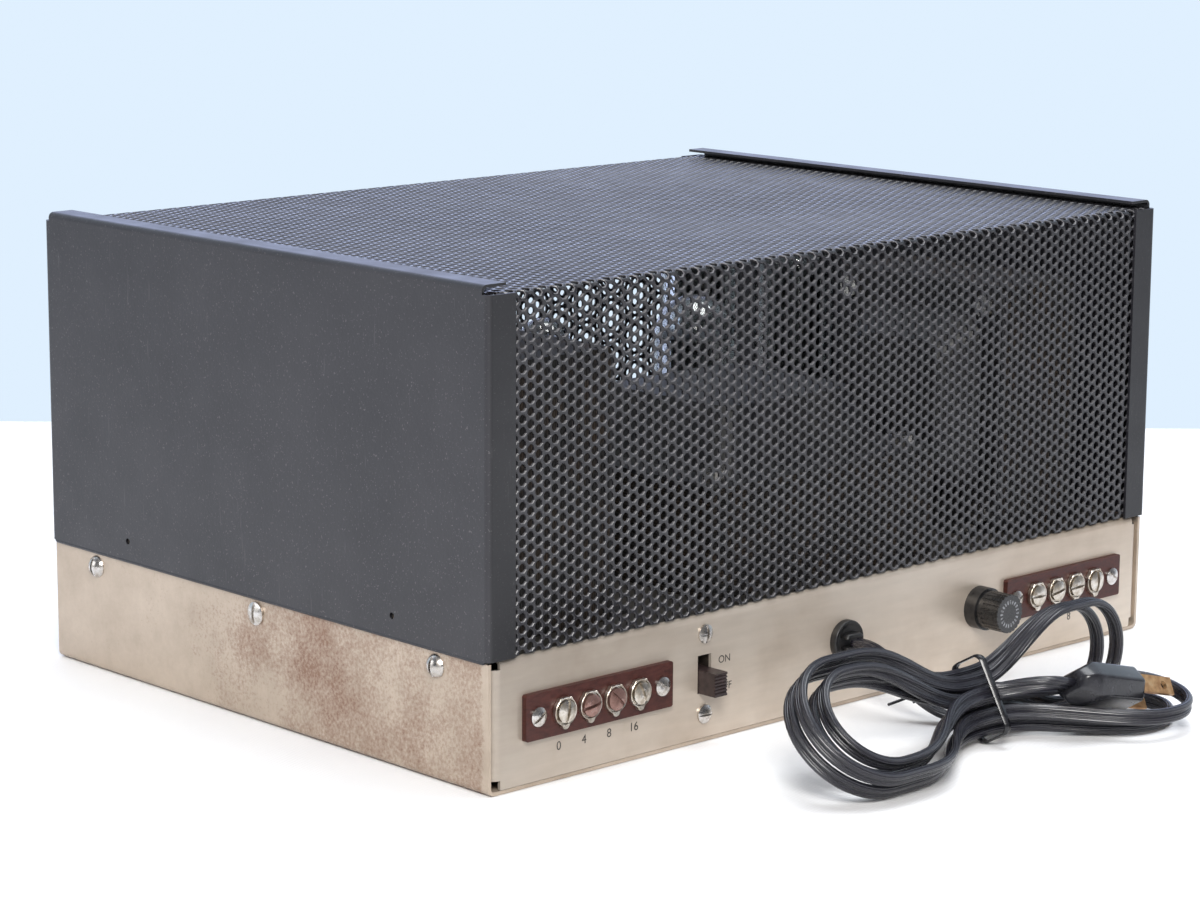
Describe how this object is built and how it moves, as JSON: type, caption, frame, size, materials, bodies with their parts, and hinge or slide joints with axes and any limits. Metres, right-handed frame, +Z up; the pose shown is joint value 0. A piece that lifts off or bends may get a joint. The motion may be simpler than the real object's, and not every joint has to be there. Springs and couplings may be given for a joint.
{
  "type": "tube power amplifier",
  "caption": "Stereo tube power amplifier: plated chassis, perforated lift-off cage, screw terminals, slide power switch, fuse holder and tied mains cord.",
  "frame": {"origin": "centre of the bottom plate's underside, on the table", "axes": "+Z up, +Y towards the rear panel with the loudspeaker terminals, +X towards the end panel beside the power switch"},
  "size_m": [0.3336, 0.3494, 0.1632],
  "materials": {
    "plated_steel": "aged nickel plate",
    "tarnished_steel": "tarnished nickel plate",
    "cage_paint": "satin baked paint",
    "bright_screws": "bright nickel",
    "laminations": "varnished silicon steel",
    "bell_paint": "gloss black paint",
    "capacitor_can": "satin",
    "socket_phenolic": "moulded phenolic",
    "noval_ceramic": "unglazed ceramic",
    "tube_glass": "clear",
    "tube_plate": "carbonised",
    "board_phenolic": "paper phenolic",
    "small_parts": "dipped",
    "pot_metal": "zinc plate",
    "jack_metal": "bright nickel",
    "switch_phenolic": "moulded phenolic",
    "strip_phenolic": "paper phenolic",
    "terminal_screw_metal": "nickel plate worn to brass",
    "fuse_plastic": "polished",
    "fuse_glass": "clear with metal ends",
    "gland_plastic": "moulded",
    "cord_rubber": "ribbed",
    "tie_plastic": "shiny",
    "blade_brass": "tarnished"
  },
  "bodies": {
    "amplifier": {"chassis": "plated_steel", "bottom_cover": "tarnished_steel", "cover_screws": "bright_screws", "power_transformer_core": "laminations", "power_transformer_bell": "bell_paint", "power_transformer_bolts": "bright_screws", "output_core_right": "laminations", "output_core_left": "laminations", "output_bells_right": "bell_paint", "output_bells_left": "bell_paint", "output_bolts": "bright_screws", "filter_choke": "laminations", "filter_capacitor": "capacitor_can", "octal_sockets": "socket_phenolic", "octal_bases": "socket_phenolic", "power_tube_glass": "tube_glass", "power_tube_plates": "tube_plate", "rectifier_glass": "tube_glass", "rectifier_plates": "tube_plate", "driver_board": "board_phenolic", "board_components": "small_parts", "noval_sockets": "noval_ceramic", "driver_tube_glass": "tube_glass", "driver_tube_plates": "tube_plate", "bias_pots": "pot_metal", "input_jacks": "jack_metal", "mode_switch_body": "switch_phenolic", "accessory_sockets": "socket_phenolic", "terminal_strip_right": "strip_phenolic", "terminal_strip_left": "strip_phenolic", "terminal_plates_right": "jack_metal", "terminal_plates_left": "jack_metal", "panel_screws": "bright_screws", "power_switch_body": "switch_phenolic", "fuse_holder": "fuse_plastic", "cord_gland": "gland_plastic", "cord_lead": "cord_rubber", "cord_hank": "cord_rubber", "cord_tie": "tie_plastic", "plug_body": "cord_rubber", "plug_blades": "blade_brass"},
    "cage": {"cage_end_right": "cage_paint", "cage_end_left": "cage_paint", "mesh_top": "cage_paint", "mesh_rear": "cage_paint", "mesh_front": "cage_paint"},
    "power_knob": {"power_switch_knob": "switch_phenolic"},
    "mode_knob": {"mode_switch_knob": "switch_phenolic"},
    "fuse_cartridge": {"fuse": "fuse_glass"},
    "fuse_cap": {"fuse_cap": "fuse_plastic"},
    "bias_right": {"bias_shaft_right": "pot_metal"},
    "bias_left": {"bias_shaft_left": "pot_metal"},
    "screw_1": {"terminal_screw_1": "terminal_screw_metal"},
    "screw_2": {"terminal_screw_2": "terminal_screw_metal"},
    "screw_3": {"terminal_screw_3": "terminal_screw_metal"},
    "screw_4": {"terminal_screw_4": "terminal_screw_metal"},
    "screw_5": {"terminal_screw_5": "terminal_screw_metal"},
    "screw_6": {"terminal_screw_6": "terminal_screw_metal"},
    "screw_7": {"terminal_screw_7": "terminal_screw_metal"},
    "screw_8": {"terminal_screw_8": "terminal_screw_metal"}
  },
  "joints": [
    {"name": "cage_lift", "type": "slide", "parent": "amplifier", "child": "cage", "axis": [0, 0, 1], "range_m": [0, 0.13]},
    {"name": "power_switch", "type": "slide", "parent": "amplifier", "child": "power_knob", "axis": [0, 0, 1], "range_m": [0, 0.0045]},
    {"name": "mode_switch", "type": "slide", "parent": "amplifier", "child": "mode_knob", "axis": [1, 0, 0], "range_m": [0, 0.004]},
    {"name": "fuse_draw", "type": "slide", "parent": "amplifier", "child": "fuse_cartridge", "axis": [0, 1, 0], "range_m": [0, 0.033]},
    {"name": "fuse_cap_turn", "type": "hinge", "parent": "fuse_cartridge", "child": "fuse_cap", "pos_m": [-0.071, 0.1237, 0.0234], "axis": [0, 1, 0], "range_deg": [0, 90]},
    {"name": "bias_right_turn", "type": "hinge", "parent": "amplifier", "child": "bias_right", "pos_m": [0.091, -0.0485, 0.044], "axis": [0, 0, 1], "range_deg": [-150, 150]},
    {"name": "bias_left_turn", "type": "hinge", "parent": "amplifier", "child": "bias_left", "pos_m": [-0.091, -0.0485, 0.044], "axis": [0, 0, 1], "range_deg": [-150, 150]},
    {"name": "terminal_1_turn", "type": "hinge", "parent": "amplifier", "child": "screw_1", "pos_m": [0.13405, 0.1213, 0.0234], "axis": [0, 1, 0], "range_deg": [0, 720]},
    {"name": "terminal_2_turn", "type": "hinge", "parent": "amplifier", "child": "screw_2", "pos_m": [0.12295, 0.1213, 0.0234], "axis": [0, 1, 0], "range_deg": [0, 720]},
    {"name": "terminal_3_turn", "type": "hinge", "parent": "amplifier", "child": "screw_3", "pos_m": [0.11185, 0.1213, 0.0234], "axis": [0, 1, 0], "range_deg": [0, 720]},
    {"name": "terminal_4_turn", "type": "hinge", "parent": "amplifier", "child": "screw_4", "pos_m": [0.10075, 0.1213, 0.0234], "axis": [0, 1, 0], "range_deg": [0, 720]},
    {"name": "terminal_5_turn", "type": "hinge", "parent": "amplifier", "child": "screw_5", "pos_m": [-0.10075, 0.1213, 0.0234], "axis": [0, 1, 0], "range_deg": [0, 720]},
    {"name": "terminal_6_turn", "type": "hinge", "parent": "amplifier", "child": "screw_6", "pos_m": [-0.11185, 0.1213, 0.0234], "axis": [0, 1, 0], "range_deg": [0, 720]},
    {"name": "terminal_7_turn", "type": "hinge", "parent": "amplifier", "child": "screw_7", "pos_m": [-0.12295, 0.1213, 0.0234], "axis": [0, 1, 0], "range_deg": [0, 720]},
    {"name": "terminal_8_turn", "type": "hinge", "parent": "amplifier", "child": "screw_8", "pos_m": [-0.13405, 0.1213, 0.0234], "axis": [0, 1, 0], "range_deg": [0, 720]}
  ]
}
